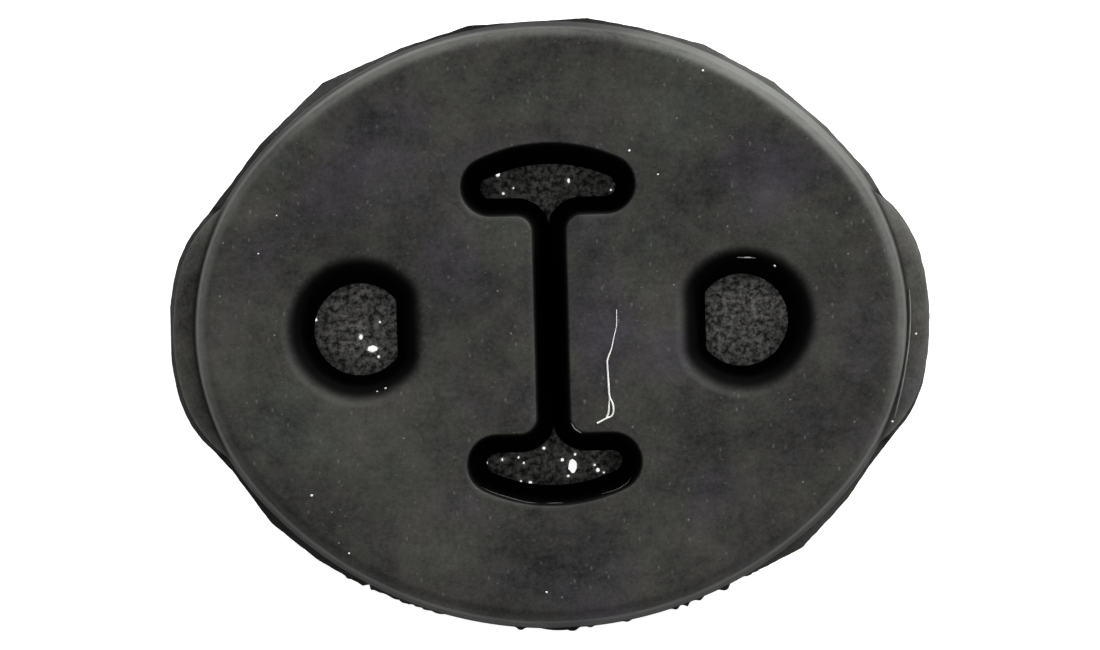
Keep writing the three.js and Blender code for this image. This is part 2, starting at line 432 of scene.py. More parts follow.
def flash_reach(angles, random):
    """How far the edge of the trimmed, torn flash reaches from the hanger's axis at each angle."""
    wall = moulded_reach(angles, 0)
    degrees_round, proud = np.array(TRIM_CORNERS).T
    at = np.radians(degrees_round)
    out = moulded_reach(at, 0) + proud
    corners = np.column_stack((out * np.cos(at), out * np.sin(at)))
    fin = chord_reach(corners, angles) - wall
    # round the lugs the flash was trimmed in one sweep, not in straight cuts
    shifts = np.radians(np.linspace(-3, 3, 7))
    swept = np.mean([np.interp(angles + s, at, proud, period=TAU) for s in shifts], axis=0)
    fin += (swept - fin) * smooth_step(0.0, 0.8, wall - block_reach(angles, 0))
    # the trimmed edge is rough, and the flash along the bottom is torn
    torn = smooth_step(*np.radians(TORN_START), angles)
    torn *= 1 - smooth_step(*np.radians(TORN_END), angles)
    for pitch, rough, tear in JAGS:
        count = int(TAU * JAG_RADIUS / pitch)
        knots = np.linspace(0, TAU, count + 1)
        jags = random.uniform(-1, 1, count + 1)
        jags[-1] = jags[0]
        fin += np.interp(angles, knots, jags) * (rough + tear * torn)
    for degrees, half_width, shred in SHREDS:
        away = np.abs(angles - math.radians(degrees)) * wall
        hump = shred * np.maximum(1 - (away / half_width) ** 2, 0)
        fin = np.maximum(fin, hump) if shred > 0 else fin + hump
    reach = wall + np.maximum(fin, FLASH_LEAST)
    for half, ray in zip(BODY_REACH, (np.cos(angles), np.sin(angles))):
        reach = np.minimum(reach, (half - BOX_ROOM) / np.maximum(np.abs(ray), SAME_POINT))
    return reach


def inside(points, polygon):
    """Which points lie inside a polygon."""
    x, y = points[:, 0], points[:, 1]
    within = np.zeros(len(points), bool)
    for (x0, y0), (x1, y1) in zip(polygon, np.roll(polygon, -1, axis=0)):
        if y0 == y1:
            continue
        crosses = (y0 > y) != (y1 > y)
        within ^= crosses & (x < x0 + (x1 - x0) * (y - y0) / (y1 - y0))
    return within


def gap_to(points, outline):
    """How far points lie from an outline's nearest point, worked out a part of it at a time."""
    gap = np.full(len(points), np.inf)
    for part in np.array_split(outline, 12):
        steps = np.linalg.norm(points[:, None, :] - part[None, :, :], axis=2)
        gap = np.minimum(gap, steps.min(axis=1))
    return gap


def distance_to(x, y, outline):
    """How far points lie from an outline's nearest point, or 0 inside it."""
    points = np.column_stack((x, y))
    return np.where(inside(points, outline), 0, gap_to(points, outline))


def face_sink(x, y, depth):
    """How far the cooled rubber lies below the CAD model's flat face, at points of the face."""
    angles = np.arctan2(y, x)
    rim = reach_of(oval(FACE_HALF, FACE_TUCK, 0, 120), angles, period=TAU)
    from_rim = rim - np.hypot(x, y)
    dish = smooth_step(*DISH_RUN, from_rim)
    swell = 0.12 * np.sin(0.21 * x + 0.9) * np.cos(0.17 * y - 0.4)
    swell += 0.08 * np.sin(0.13 * x - 0.31 * y + 2.0)
    bore_mouth = BORE_DRAFT_RUN + BORE_LIP
    mouths = (right_bore_outline(bore_mouth), left_bore_outline(bore_mouth), slot_outline(0))
    away = np.min([distance_to(x, y, mouth) for mouth in mouths], axis=0)
    turned_down = MOUTH_SINK * (1 - smooth_step(0, MOUTH_SINK_WIDTH, away))
    return FACE_DROP + depth * dish * (0.85 + swell) + turned_down


def near(angles, direction, half_width):
    """From 1 in a direction to 0 at half a patch's width away from it, both in degrees."""
    away = np.abs(from_direction(angles, math.radians(direction)))
    return 1 - smooth_step(0.1, 1.0, away / math.radians(half_width))


def rim_marks(angles, height, top):
    """How the rubber is marked on the hanger's sides, at each angle and a height: flank, grey bloom
    with painted highlight, and painted shade.
    """
    depth = top - abs(height)
    flank = float(smooth_step(0.1, FACE_EDGE_RADIUS * 0.7, depth))
    bloom = np.zeros(len(angles))
    # grey bloom and painted highlight, strongest on the side towards the key light
    for direction, half_width, strength, start, end in BLOOM_AND_HIGHLIGHT_PATCHES:
        begun = smooth_step(start - 0.03, start + 0.35, depth)
        ended = smooth_step(0.7 * end, 1.3 * end, depth)
        there = begun * (1 - ended)
        bloom = np.maximum(bloom, strength * there * near(angles, direction, half_width))
    gap = lug_reach(angles, height) - block_reach(angles, height)
    # painted shade on the sides, lower down the walls, and in the crease beside each lug
    painted_shade = np.zeros(len(angles))
    for direction, half_width, strength, start, end in PAINTED_SHADE_PATCHES:
        there = strength * smooth_step(start, end, depth)
        painted_shade = np.maximum(painted_shade, there * near(angles, direction, half_width))
    painted_shade *= np.maximum(1 - bloom / HIGHLIGHT_OVER_SHADE, 0) * (1 - smooth_step(0, 0.5, gap))
    crease = CREASE_SHADE * np.exp(-((gap - CREASE_GAP) / CREASE_WIDTH) ** 2)
    painted_shade = np.maximum(painted_shade, crease)
    return {"flank": flank, "bloom": bloom, "painted_shade": painted_shade}


def lip_bloom(outline, depth):
    """How much painted highlight there is on an opening's lip: most where the lip faces the lower left.
    """
    along = np.roll(outline, -1, axis=0) - np.roll(outline, 1, axis=0)
    facing = np.arctan2(-along[:, 0], along[:, 1])
    turned = np.maximum(np.cos(facing - LIP_HIGHLIGHT_FACING), 0)
    return LIP_HIGHLIGHT * turned**2 * float(1 - smooth_step(0.0, 0.15, depth))


class Skin:
    """A closed surface made of rings of points, in millimetres, with heights from mid-thickness."""

    def __init__(self):
        self.points = []
        self.marks = {name: [] for name in MARKS}
        self.faces = []

    def ring(self, outline, height, **marks):
        """Adds a level ring. Each mark is from 0 to 1, and is 0 where it isn't given."""
        first = len(self.points)
        self.points.extend((x, y, height) for x, y in outline)
        for name, values in self.marks.items():
            values.extend(np.broadcast_to(marks.get(name, 0.0), len(outline)))
        return list(range(first, len(self.points)))

    def stack(self, rings, outward):
        """Joins rings from the top down. Faces look outwards or else towards the rings' middle."""
        for upper, lower in zip(rings, rings[1:]):
            around = zip(upper, lower, lower[1:] + lower[:1], upper[1:] + upper[:1])
            self.faces.extend(face if outward else face[::-1] for face in around)
        return rings[0], rings[-1]

    def caps(self, rim, holes, height, spacing):
        """Closes the top and the bottom between the rim's rings and the holes' rings."""
        tops = [rim[0], *(hole[0] for hole in holes)]
        bottoms = [rim[1], *(hole[1] for hole in holes)]
        loops = [np.array([self.points[i][:2] for i in top]) for top in tops]
        flat = np.vstack(loops)
        edges = []
        first = 0
        for loop in loops:
            count = len(loop)
            edges.extend((first + i, first + (i + 1) % count) for i in range(count))
            first += count
        inner = self.spread(loops, spacing)
        corners = np.vstack((flat, inner))
        cut = delaunay_2d_cdt([tuple(p) for p in corners], edges, [], 0, SAME_POINT)
        source = [origin[0] for origin in cut[3]]
        triangles = np.array([[source[i] for i in face] for face in cut[2]])
        middles = corners[triangles].mean(axis=1)
        in_holes = np.any([inside(middles, loop) for loop in loops[1:]], axis=0)
        triangles = triangles[~in_holes]
        for level, side, facing in ((height, tops, 1), (-height, bottoms, -1)):
            names = [i for ring in side for i in ring]
            names += self.ring(inner, level)
            self.faces.extend(tuple(names[i] for i in face[::facing]) for face in triangles)

    def spread(self, loops, spacing):
        """Points spread evenly over the face, a little way in from its loops."""
        rows = spacing * math.sqrt(3) / 2
        low, high = loops[0].min(axis=0), loops[0].max(axis=0)
        grid = []
        for row, y in enumerate(np.arange(low[1], high[1], rows)):
            shift = spacing / 2 * (row % 2)
            grid.extend((x + shift, y) for x in np.arange(low[0], high[0], spacing))
        grid = np.array(grid)
        keep = inside(grid, loops[0] * 0.985)
        for loop in loops[1:]:
            middle = loop.mean(axis=0)
            away = loop - middle
            margin = away + 0.5 * away / np.linalg.norm(away, axis=1)[:, None]
            keep &= ~inside(grid, middle + margin)
        grid = grid[keep]
        gap = np.min([gap_to(grid, loop) for loop in loops], axis=0)
        return grid[gap > spacing / 2]


def make_piece(name, points, faces, material):
    """Makes a mesh object from points in millimetres, in the frame."""
    mesh = bpy.data.meshes.new(name)
    mesh.from_pydata([tuple(p) for p in np.asarray(points) * MM], [], faces)
    mesh.validate()
    mesh.shade_smooth()
    mesh.set_sharp_from_angle(angle=SMOOTH_BELOW)
    mesh.materials.append(material)
    piece = bpy.data.objects.new(name, mesh)
    bpy.context.scene.collection.objects.link(piece)
    return piece


def mirrored(heights):
    """Heights from the top down to mid-thickness, and on down to the bottom."""
    return list(heights) + [-height for height in reversed(heights) if height > 0]


def opening_rings(skin, outline, top, run, lip, waist_grow):
    """The rings of an opening that narrows from a rounded mouth on each face to a waist."""
    lip_heights = rounding_heights(top, run, lip, 9)
    deep = [lip_heights[-1] * share for share in (0.86, 0.66, 0.4, 0.18)]
    rings = []
    for height in mirrored([*lip_heights, *deep, 0.0]):
        grow = waist_grow + run - wall_out(abs(height), top, run, lip)
        depth = top - abs(height)
        # painted shade: the opening's walls turn near-black with depth
        hollow = 1 - math.exp(-depth / HOLLOW_SHADE_DEPTH)
        ring = outline(grow)
        # painted highlight on the lips
        bloom = lip_bloom(ring, depth)
        rings.append(skin.ring(ring, height, hollow=hollow, bloom=bloom))
    # rings on the faces round the mouths, which keep the painted highlights on the lips from spreading
    margin = waist_grow + run - wall_out(top, top, run, lip) + MOUTH_MARGIN
    first, last = (skin.ring(outline(margin), height) for height in (top, -top))
    return skin.stack([first, *rings, last], outward=False)


class Wire:
    """A value in a shader. Arithmetic on it in Python adds the Math nodes that it needs."""

    def __init__(self, recipe, socket):
        self.recipe = recipe
        self.socket = socket

    def __add__(self, other):
        return self.recipe.math("ADD", self, other)

    def __sub__(self, other):
        return self.recipe.math("SUBTRACT", self, other)

    def __rsub__(self, other):
        return self.recipe.math("SUBTRACT", other, self)

    def __mul__(self, other):
        return self.recipe.math("MULTIPLY", self, other)

    __radd__ = __add__
    __rmul__ = __mul__


class Recipe:
    """A material that is put together node by node."""

    def __init__(self, name):
        self.material = bpy.data.materials.new(name)
        self.material.use_nodes = True
        self.tree = self.material.node_tree
        self.tree.nodes.clear()

    def node(self, kind, settings, sockets, output=0):
        """Adds a node: its settings first, then the values or links of its sockets."""
        node = self.tree.nodes.new(kind)
        for name, value in settings.items():
            setattr(node, name, value)
        for name, value in sockets.items():
            socket = node.inputs[name]
            if isinstance(value, Wire):
                self.tree.links.new(value.socket, socket)
            else:
                socket.default_value = value
        return Wire(self, node.outputs[output])

    def math(self, operation, a, b):
        return self.node("ShaderNodeMath", {"operation": operation}, {0: a, 1: b})

    def step(self, value, low, high):
        """From 0 where the value is low to 1 where it is high, level at both ends."""
        settings = {"interpolation_type": "SMOOTHSTEP", "clamp": True}
        sockets = {"Value": value, "From Min": low, "From Max": high}
        return self.node("ShaderNodeMapRange", settings, sockets)

    def blend(self, share, a, b):
        """Mixes two colours."""
        settings = {"data_type": "RGBA", "clamp_factor": True}
        return self.node("ShaderNodeMix", settings, {0: share, 6: a, 7: b}, 2)

    def scaled(self, colour, share):
        """A colour made darker or paler."""
        if not isinstance(colour, Wire):
            colour = tuple(colour)[:3]
        return self.node("ShaderNodeVectorMath", {"operation": "SCALE"}, {0: colour, "Scale": share})

    def place(self, scale=(1, 1, 1), shift=(0, 0, 0)):
        """Where a point is on the piece, in millimetres, stretched and moved."""
        here = self.node("ShaderNodeTexCoord", {}, {}, "Object")
        size = tuple(s / MM for s in scale)
        sockets = {0: here, 1: size, 2: shift}
        return self.node("ShaderNodeVectorMath", {"operation": "MULTIPLY_ADD"}, sockets)

    def axis(self, vector, name):
        return self.node("ShaderNodeSeparateXYZ", {}, {0: vector}, name)

    def away_from(self, place, half):
        """How far a point is from a patch's middle: 1 at the patch's edge."""
        shift = tuple(-at / reach for at, reach in zip(place, half))
        spot = self.place((1 / half[0], 1 / half[1], 0), (*shift, 0))
        return self.node("ShaderNodeVectorMath", {"operation": "LENGTH"}, {0: spot}, "Value")

    def noise(self, place, scale, detail=2.0, roughness=0.5):
        sockets = {"Vector": place, "Scale": scale, "Detail": detail, "Roughness": roughness}
        return self.node("ShaderNodeTexNoise", {"normalize": True}, sockets)

    def cells(self, place, scale, output="Distance"):
        """Distance to the nearest of scattered points, or that point's random colour."""
        settings = {"voronoi_dimensions": "2D", "feature": "F1"}
        return self.node("ShaderNodeTexVoronoi", settings, {"Vector": place, "Scale": scale}, output)

    def attribute(self, name):
        return self.node("ShaderNodeAttribute", {"attribute_name": name}, {}, "Fac")

    def finish(self, surface):
        """Ends the recipe with its surface and returns the material."""
        end = self.tree.nodes.new("ShaderNodeOutputMaterial")
        self.tree.links.new(surface.socket, end.inputs["Surface"])
        return self.material


def specks(recipe, pitch, radius, share, shift, stretch=(1, 1, 1)):
    """A mask of scattered specks. Pitch is how far apart they could be; share is how many are there."""
    place = recipe.place(stretch, shift)
    away = recipe.cells(place, 1 / pitch)
    luck = recipe.cells(place, 1 / pitch, "Color")
    parts = recipe.node("ShaderNodeSeparateColor", {}, {"Color": luck})
    present = recipe.step(parts, 1 - share, 1 - share + 0.02)
    size = radius / pitch
    return (1 - recipe.step(away, size * 0.45, size)) * present


def rubber_material(finish):
    """Weathered, mottled rubber on the outside, with painted highlight, partly grey bloom, on the sides
    and lips; near-black painted shade in the openings, low on the sides and in the creases.
    """
    recipe = Recipe("weathered_rubber")
    broad = recipe.noise(recipe.place(), 0.085, 3.0, 0.55)
    middling = recipe.noise(recipe.place(shift=(3, 8, 0)), 0.42, 2.0, 0.5)
    hue = recipe.noise(recipe.place(shift=(31, 7, 0)), 0.1, 2.5, 0.5)
    grain = recipe.noise(recipe.place(), 1.9, 3.0, 0.6)
    pores = recipe.noise(recipe.place(), 5.5, 2.0, 0.5)
    streaks = recipe.noise(recipe.place((0.5, 1.6, 1), (0, 0, 9)), 0.7, 3.0, 0.6)

    # the stains' edges wander with the noise
    wander = recipe.noise(recipe.place(shift=(17, 29, 0)), 0.22, 3.0, 0.6)
    paler = 2.5 * (broad - 0.5)
    tint = 3.6 * (hue - 0.5)
    for place, half, tone, violet in STAINS:
        away = recipe.away_from(place, half) + 1.3 * (wander - 0.5)
        mask = 1 - recipe.step(away, 0.25, 1.35)
        paler = paler + mask * (STAIN_DEPTH * tone)
        tint = tint + mask * violet
    green = recipe.blend(recipe.step(0 - tint, 0.0, 1.0), (*finish.charcoal,), (*finish.olive,))
    hued = recipe.blend(recipe.step(tint, 0.0, 1.0), green, (*finish.violet,))
    shade = 1 + paler + 1.1 * (middling - 0.5) + 1.7 * (grain - 0.5) + 0.5 * (streaks - 0.5)
    shade = shade + 1.1 * (pores - 0.5)
    toned = recipe.scaled(hued, shade)

    upright = recipe.axis(recipe.node("ShaderNodeTexCoord", {}, {}, "Normal"), "Z")
    level = recipe.step(recipe.math("ABSOLUTE", upright, 0.0), 0.9, 0.99)
    crowd = recipe.step(recipe.noise(recipe.place(shift=(2, 5, 0)), 0.2, 2.0), 0.35, 0.65)
    faint = specks(recipe, 1.3, 0.12, 0.5, (0, 0, 0), (0.6, 1, 1)) * crowd
    small = specks(recipe, 1.9, 0.18, 0.4, (11, 3, 0), (1, 0.55, 1)) * (0.3 + crowd)
    bright = specks(recipe, 6.5, 0.14, 0.35, (4, 17, 0))
    dust = (faint * 0.07 + small * 0.065 + bright * 0.22) * level
    # grey bloom and painted highlight: paler rubber where the mark is
    bloom = recipe.attribute("bloom") * (0.7 + 0.6 * streaks)
    bloomed = recipe.blend(bloom, toned, (*finish.bloom,))
    # painted shade: darker, towards near-black, on the sides and in the creases
    shade_darkened = recipe.blend(recipe.attribute("painted_shade") * 0.85, bloomed, (*finish.shade_black, 1))
    colour = recipe.blend(dust, shade_darkened, (*finish.dust,))

    relief = grain * 0.6 + pores * 0.4 + broad * 1.5 + dust * 2.0
    bump = recipe.node("ShaderNodeBump", {}, {"Strength": 0.25, "Distance": 0.00006, "Height": relief})
    flank = recipe.attribute("flank")
    gloss = (0.60 + 0.16 * grain - 0.10 * broad) * (1 - flank) + flank
    weathered = recipe.node("ShaderNodeBsdfPrincipled", {}, {
        "Base Color": colour, "Roughness": gloss, "Specular IOR Level": 0.25, "Normal": bump})
    # near-black painted shade, which hardly reflects
    shade_black = recipe.node("ShaderNodeBsdfPrincipled", {}, {
        "Base Color": (*finish.shade_black, 1), "Roughness": 0.9, "Specular IOR Level": 0.02})
    # painted shade: in the openings, and partly on the shaded sides, the rubber is mixed towards a
    # near-black surface that hardly reflects
    dull = recipe.math("MAXIMUM", recipe.attribute("hollow"), 0.45 * recipe.attribute("painted_shade"))
    mixed = recipe.node("ShaderNodeMixShader", {}, {0: dull, 1: weathered, 2: shade_black})
    return recipe.finish(mixed)


def plain_material(name, colour, roughness, variation, scale):
    """A small piece's material: one colour that varies a little in tone."""
    recipe = Recipe(name)
    tone = 1 + variation * (recipe.noise(recipe.place(), scale, 2.0) - 0.5)
    surface = recipe.node("ShaderNodeBsdfPrincipled", {}, {
        "Base Color": recipe.scaled((*colour,), tone), "Roughness": roughness,
        "Specular IOR Level": 0.3})
    return recipe.finish(surface)


def floor_material(studio):
    """A plain pale floor that glows a little, so that it stays pale in the hanger's shadow. The part
    of it that shows through the openings is dark grit.
    """
    recipe = Recipe("pale_floor")
    under = 1 - recipe.step(recipe.away_from((0, 0), GRIT_HALF), 0.97, 1.0)
    coarse = recipe.step(recipe.noise(recipe.place(), 1.5, 4.0, 0.7), 0.36, 0.68)
    patchy = recipe.noise(recipe.place(shift=(8, 3, 0)), 0.3, 2.0, 0.5)
    here = recipe.axis(recipe.place(), "X")
    aside = recipe.math("ABSOLUTE", here, 0.0)
    along = recipe.math("ABSOLUTE", recipe.axis(recipe.place(), "Y"), 0.0)
    # painted shade on the grit: darkest under the slit, where hardly any light comes down, and darker
    # under the slot's heads than under the bores; a little paler under the right bore
    lit = recipe.math("MAXIMUM", recipe.step(aside, 1.0, 2.0), recipe.step(along, 11.5, 12.5))
    lit = lit * (1 - 0.4 * recipe.step(along, 9.0, 12.0) + 0.12 * recipe.step(here, 12.0, 14.0))
    grit = recipe.scaled((*studio.grit, 1), (0.2 + 1.7 * coarse) * (0.4 + 1.2 * patchy) * lit)
    base = recipe.blend(under, (*studio.floor, 1), grit)
    glow = recipe.scaled((1, 1, 1), (1 - under) * studio.glow)
    surface = recipe.node("ShaderNodeBsdfPrincipled", {}, {
        "Base Color": base, "Roughness": 0.9, "Specular IOR Level": 0.1,
        "Emission Color": glow, "Emission Strength": 1.0})
    return recipe.finish(surface)


def grain_material():
    """Pale grains among the grit: they glow a little, because hardly any light reaches them."""
    recipe = Recipe("pale_grain")
    surface = recipe.node("ShaderNodeBsdfPrincipled", {}, {
        "Base Color": (0.9, 0.9, 0.9, 1), "Roughness": 0.8,
        "Emission Color": (1, 1, 1, 1), "Emission Strength": 0.9})
    return recipe.finish(surface)


def amount_setting(name, description, default, unit="NONE"):
    """A number, never below zero, that a user can change."""
    return bpy.props.FloatProperty(
        name=name, description=description, default=default, min=0, unit=unit)


def colour_setting(name, description, default):
    """A colour that a user can change."""
    return bpy.props.FloatVectorProperty(
        name=name, description=description, default=default, size=len(default), subtype="COLOR")


class HangerSizes(bpy.types.PropertyGroup):
    """Sizes that a user would change."""

    face_sink: amount_setting(
        "Face Sink", "How far the middle of the front face sank as it cooled", 0.00028, "LENGTH")
    lint_thickness: amount_setting(
        "Lint Thickness", "Thickness of the lint fibre", 0.0002, "LENGTH")
    thread_thickness: amount_setting(
        "Thread Thickness", "Thickness of the rubber thread on the right lug", 0.00026, "LENGTH")


class HangerFinish(bpy.types.PropertyGroup):
    """Colours of the rubber and of what lies on it."""

    charcoal: colour_setting("Charcoal", "Weathered rubber", (0.0276, 0.0268, 0.0230, 1))
    olive: colour_setting("Olive", "Greenish stains on the rubber", (0.0252, 0.0290, 0.0236, 1))
    violet: colour_setting("Violet", "Violet stains on the rubber", (0.0262, 0.0232, 0.0284, 1))
    # grey bloom and painted highlight; also the colour of the dim glints and of the rubber thread
    bloom: colour_setting("Bloom", "Grey bloom along the edge of the face", (0.12, 0.125, 0.115, 1))
    # near-black painted shade in the openings, on the shaded sides and in the creases
    shade_black: colour_setting(
        "Shade Rubber", "Shaded rubber in the openings", (0.0015, 0.0015, 0.0015))
    dust: colour_setting("Dust", "Specks of dust", (0.55, 0.55, 0.52, 1))
    lint: colour_setting("Lint", "White lint fibre", (0.75, 0.75, 0.72, 1))


class StudioSettings(bpy.types.PropertyGroup):
    """Floor and light."""

    floor: colour_setting("Floor", "Colour of the floor", (0.9, 0.9, 0.9))
    grit: colour_setting(
        "Grit", "Colour of the grit that shows through the openings", (0.42, 0.41, 0.39))
    glow: amount_setting("Floor Glow", "Light that the floor gives off", 0.7)
    key: amount_setting("Key Light", "Radiance of the low light on the right", 20.0)
    side: amount_setting("Side Light", "Radiance of the low light on the left", 11.0)
    top: amount_setting("Top Light", "Radiance of the light overhead", 2.0)
    fill: amount_setting("Fill Light", "Radiance of the surroundings", 0.5)


class HANGER_OT_rubber_body(bpy.types.Operator):
    """Makes the moulded rubber body with its lugs, openings and torn flash."""

    bl_idname = "hanger.rubber_body"
    bl_label = "Rubber Body"

    def execute(self, context):
        sizes = context.scene.hanger_sizes
        random = np.random.default_rng(7)
        top = HALF_THICKNESS
        angles = np.arange(RIM_POINTS) * TAU / RIM_POINTS
        rays = np.column_stack((np.cos(angles), np.sin(angles)))
        skin = Skin()

        edge = rounding_heights(top, BLOCK_DRAFT_RUN, FACE_EDGE_RADIUS, 8)
        lug = rounding_heights(LUG_HEIGHT, LUG_DRAFT_RUN, LUG_EDGE_RADIUS, 24)
        wall = list(np.linspace(edge[-1], LUG_HEIGHT, 4)[1:-1])
        lower = list(np.linspace(lug[-1], FLASH_ROOT, 4)[1:])
        flash = flash_reach(angles, random)
        rings = []
        for height in mirrored([*edge, *wall, *lug, *lower, FLASH_TIP]):
            if abs(height) == FLASH_TIP:
                reach = flash
            else:
                reach = moulded_reach(angles, height)
            rings.append(skin.ring(rays * reach[:, None], height, **rim_marks(angles, height, top)))
        rim = skin.stack(rings, outward=True)

        holes = []
        for outline in (right_bore_outline, left_bore_outline):
            holes.append(opening_rings(skin, outline, top, BORE_DRAFT_RUN, BORE_LIP, 0))
        slot = opening_rings(skin, slot_outline, top, SLOT_DRAFT_RUN, SLOT_LIP, -SLOT_DRAFT_RUN)
        holes.append(slot)
        skin.caps(rim, holes, top, FACE_SPACING)

        points = np.array(skin.points)
        sink = face_sink(points[:, 0], points[:, 1], sizes.face_sink / MM)
        points[:, 2] -= sink * smooth_step(top - SINK_DEPTH, top, points[:, 2])
        points[:, 2] += top
        piece = make_piece(
            "rubber_body", points, skin.faces, rubber_material(context.scene.hanger_finish))
        for name, values in skin.marks.items():
            attribute = piece.data.attributes.new(name, "FLOAT", "POINT")
            attribute.data.foreach_set("value", np.array(values, np.float32))
        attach(piece, "root")
        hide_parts("rubber_hanger")
        return {"FINISHED"}


def smooth_path(path, per_step):
    """A smooth curve through the path's points."""
    path = np.array(path)
    padded = np.vstack((2 * path[0] - path[1], path, 2 * path[-1] - path[-2]))
    points = []
    for a, b, c, d in zip(padded, padded[1:], padded[2:], padded[3:]):
        for t in np.arange(per_step) / per_step:
            points.append(0.5 * (
                2 * b + (c - a) * t + (2 * a - 5 * b + 4 * c - d) * t**2
                + (3 * b - a - 3 * c + d) * t**3))
    points.append(path[-1])
    return np.array(points)


def tube(path, radii):
    """Points and faces of a closed tube along a path of points in space."""
    along = np.gradient(path, axis=0)
    along /= np.linalg.norm(along, axis=1)[:, None]
    across = np.cross(along, (0, 0, 1))
    across /= np.linalg.norm(across, axis=1)[:, None]
    up = np.cross(across, along)
    turns = np.arange(TUBE_SIDES) * TAU / TUBE_SIDES
    points = []
    for centre, radius, side, rise in zip(path, radii, across, up):
        ring = np.cos(turns)[:, None] * side + np.sin(turns)[:, None] * rise
        points.extend(centre + radius * ring)
    faces = []
    for step in range(len(path) - 1):
        a, b = step * TUBE_SIDES, (step + 1) * TUBE_SIDES
        for i in range(TUBE_SIDES):
            j = (i + 1) % TUBE_SIDES
            faces.append((a + i, b + i, b + j, a + j))
    last = (len(path) - 1) * TUBE_SIDES
    faces.append(tuple(range(TUBE_SIDES)))
    faces.append(tuple(last + i for i in reversed(range(TUBE_SIDES))))
    return points, faces


def joined_tubes(tubes):
    """Points and faces of several tubes as one mesh, each from its path and radii."""
    points, faces = [], []
    for path, radii in tubes:
        more_points, more_faces = tube(path, radii)
        faces.extend(tuple(i + len(points) for i in face) for face in more_faces)
        points.extend(more_points)
    return points, faces


class HANGER_OT_lint_fibre(bpy.types.Operator):
    """Makes the white lint fibre that clings to the front face."""

    bl_idname = "hanger.lint_fibre"
    bl_label = "Lint Fibre"

    def execute(self, context):
        sizes = context.scene.hanger_sizes
        finish = context.scene.hanger_finish
        radius = sizes.lint_thickness / MM / 2
        tubes = []
        for path, thinnest in ((LINT_PATH, 0.35), (LINT_STRAND, 0.6)):
            flat = smooth_path(path, 6)
            share = np.linspace(0, 1, len(flat))
            radii = radius * (thinnest + (1 - thinnest) * smooth_step(0, 0.6, share))
            sink = face_sink(flat[:, 0], flat[:, 1], sizes.face_sink / MM)
            height = 2 * HALF_THICKNESS - sink + radii * 0.8
            tubes.append((np.column_stack((flat, height)), radii))
        material = plain_material("lint", finish.lint, 0.6, 0.8, 1.4)
        piece = make_piece("lint_fibre", *joined_tubes(tubes), material)
        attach(piece, "root")
        return {"FINISHED"}


def scattered_lumps(lumps, random):
    """Points and faces of small uneven lumps, each with a place and half widths."""
    builder = bmesh.new()
    for place, half in lumps:
        ball = bmesh.ops.create_icosphere(builder, subdivisions=2, radius=1)
        for vertex in ball["verts"]:
            vertex.co = np.array(vertex.co) * half * random.uniform(0.8, 1.1) + place
    points = [tuple(vertex.co) for vertex in builder.verts]
    builder.verts.index_update()
    faces = [tuple(vertex.index for vertex in face.verts) for face in builder.faces]
    builder.free()
    return points, faces


class HANGER_OT_wall_glints(bpy.types.Operator):
    """Makes the pale slivers on the walls of the openings, which are painted highlights: glints."""

    bl_idname = "hanger.wall_slivers"
    bl_label = "Wall Glints"

    def execute(self, context):
        finish = context.scene.hanger_finish
        # the slivers are painted highlights, glints; the bright ones take the dust colour
        kinds = (("dull", DIM_GLINT_SLIVERS, finish.bloom), ("bright", BRIGHT_GLINT_SLIVERS, finish.dust))
        for kind, slivers, colour in kinds:
            tubes = []
            for thickness, places in slivers:
                path = smooth_path([(x, y, 2 * HALF_THICKNESS - depth) for x, y, depth in places], 6)
                share = np.linspace(0, 1, len(path))
                radii = thickness / 2 * (0.4 + 0.6 * np.sin(math.pi * share))
                tubes.append((path, radii))
            material = plain_material(kind + "_glint_sliver", colour, 0.7, 1.2, 1.2)
            piece = make_piece(kind + "_slivers", *joined_tubes(tubes), material)
            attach(piece, "root")
        return {"FINISHED"}


class HANGER_OT_lint_crumbs(bpy.types.Operator):
    """Makes the crumbs of lint that lie on the front face and the right lug."""

    bl_idname = "hanger.lint_crumbs"
    bl_label = "Lint Crumbs"

    def execute(self, context):
        places, widths = zip(*CRUMBS)
        x, y = np.array(places).T
        face = 2 * HALF_THICKNESS - face_sink(x, y, context.scene.hanger_sizes.face_sink / MM)
        lies_on = np.where(x > ON_LUG, HALF_THICKNESS + LUG_HEIGHT, face)
        lumps = []
        for at_x, at_y, at_z, width in zip(x, y, lies_on, widths):
            half = tuple(share * width for share in CRUMB_HALF)
            lumps.append(((at_x, at_y, at_z + CRUMB_RISE * width), half))
        mesh = scattered_lumps(lumps, np.random.default_rng(3))
        material = plain_material("crumbs", context.scene.hanger_finish.lint, 0.7, 0.8, 4.0)
        piece = make_piece("lint_crumbs", *mesh, material)
        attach(piece, "root")
        return {"FINISHED"}


class HANGER_OT_rubber_thread(bpy.types.Operator):
    """Makes the thread of rubber that was left beside the face on the right lug."""

    bl_idname = "hanger.rubber_thread"
    bl_label = "Rubber Thread"

    def execute(self, context):
        path = smooth_path(THREAD, 8)
        path[:, 2] += HALF_THICKNESS
        share = np.linspace(0, 1, len(path))
        radii = context.scene.hanger_sizes.thread_thickness / MM / 2
        radii = radii * (0.35 + 0.65 * np.sin(math.pi * share) ** 0.5)
        material = plain_material("pale_rubber", context.scene.hanger_finish.bloom, 0.9, 0.9, 0.8)
        piece = make_piece("rubber_thread", *tube(path, radii), material)
        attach(piece, "root")
        return {"FINISHED"}


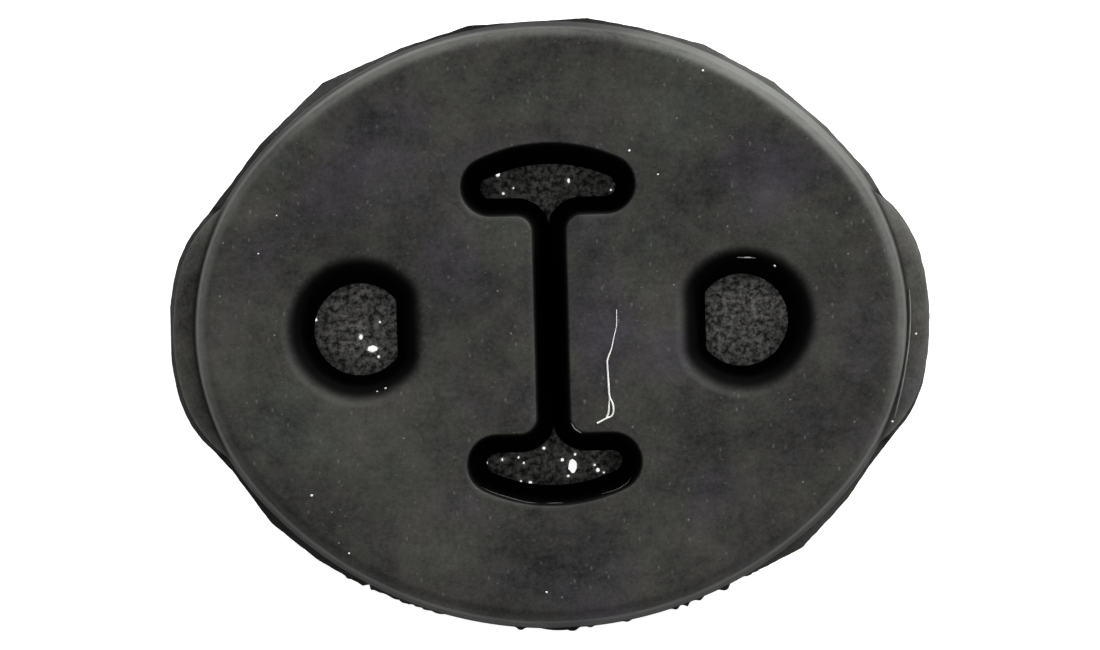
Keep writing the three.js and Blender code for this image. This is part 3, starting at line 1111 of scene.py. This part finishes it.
def area_light(name, azimuth, elevation, distance, size, radiance, aim):
    """A square soft light that looks at a point from a direction in degrees."""
    light = bpy.data.lights.new(name, "AREA")
    light.shape = "SQUARE"
    light.size = size
    light.energy = radiance * math.pi * size * size
    lamp = bpy.data.objects.new(name, light)
    bpy.context.scene.collection.objects.link(lamp)
    a, e = math.radians(azimuth), math.radians(elevation)
    away = np.array((math.cos(a) * math.cos(e), math.sin(a) * math.cos(e), math.sin(e)))
    lamp.location = np.array(aim) + away * distance
    lamp.rotation_euler = (QUARTER - e, 0, a + QUARTER)


class HANGER_OT_studio_stage(bpy.types.Operator):
    """Makes the pale floor, the soft lights and the camera."""

    bl_idname = "hanger.studio_stage"
    bl_label = "Studio Stage"

    def execute(self, context):
        scene = context.scene
        studio = scene.hanger_studio
        side = FLOOR_HALF
        corners = [(-side, -side, 0), (side, -side, 0), (side, side, 0), (-side, side, 0)]
        floor = make_piece("floor", corners, [(0, 1, 2, 3)], floor_material(studio))
        lumps = [((*place, GRAIN_RISE), (*half, GRAIN_HALF_HEIGHT)) for place, *half in GRAINS]
        mesh = scattered_lumps(lumps, np.random.default_rng(5))
        grains = make_piece("pale_grains", *mesh, grain_material())

        scene.view_settings.view_transform = "Standard"
        world = bpy.data.worlds.new("studio")
        world.use_nodes = True
        background = world.node_tree.nodes["Background"]
        background.inputs["Color"].default_value = (1, 1, 1, 1)
        background.inputs["Strength"].default_value = studio.fill
        scene.world = world
        middle = (0, 0, HALF_THICKNESS * MM)
        area_light("key_light", 45, 12, 1.2, 0.7, studio.key, middle)
        area_light("side_light", 118, 12, 1.2, 0.5, studio.side, middle)
        area_light("top_light", 0, 90, 1.75, 0.7, studio.top, middle)

        camera = bpy.data.cameras.new("camera")
        camera.sensor_width = 36
        camera.lens = CAMERA_LENS
        camera.clip_end = 20
        eye = bpy.data.objects.new("camera", camera)
        scene.collection.objects.link(eye)
        eye.location = (*CAMERA_PLACE, middle[2] + CAMERA_HEIGHT)
        eye.rotation_euler = (0, 0, CAMERA_TURN)
        scene.camera = eye
        return {"FINISHED"}


class HANGER_PT_panel(bpy.types.Panel):
    """Lists what the hanger is made of."""

    bl_label = "Rubber Exhaust Hanger"
    bl_space_type = "VIEW_3D"
    bl_region_type = "UI"
    bl_category = "Hanger"

    def draw(self, context):
        layout = self.layout
        for operator in OPERATORS:
            layout.operator(operator.bl_idname)
        for group in GROUPS:
            settings = getattr(context.scene, group)
            for name in type(settings).__annotations__:
                layout.prop(settings, name)


GROUPS = {
    "hanger_sizes": HangerSizes,
    "hanger_finish": HangerFinish,
    "hanger_studio": StudioSettings,
}
OPERATORS = (
    HANGER_OT_rubber_body,
    HANGER_OT_rubber_thread,
    HANGER_OT_lint_fibre,
    HANGER_OT_lint_crumbs,
    HANGER_OT_wall_glints,
    HANGER_OT_studio_stage,
)
CLASSES = (*GROUPS.values(), *OPERATORS, HANGER_PT_panel)


def register():
    for group in CLASSES:
        bpy.utils.register_class(group)
    for name, group in GROUPS.items():
        setattr(bpy.types.Scene, name, bpy.props.PointerProperty(type=group))


def unregister():
    for name in GROUPS:
        delattr(bpy.types.Scene, name)
    for group in reversed(CLASSES):
        bpy.utils.unregister_class(group)


def main():
    register()
    bpy.ops.hanger.rubber_body()
    bpy.ops.hanger.rubber_thread()
    bpy.ops.hanger.lint_fibre()
    bpy.ops.hanger.lint_crumbs()
    bpy.ops.hanger.wall_slivers()
    bpy.ops.hanger.studio_stage()


if __name__ == "__main__":
    main()
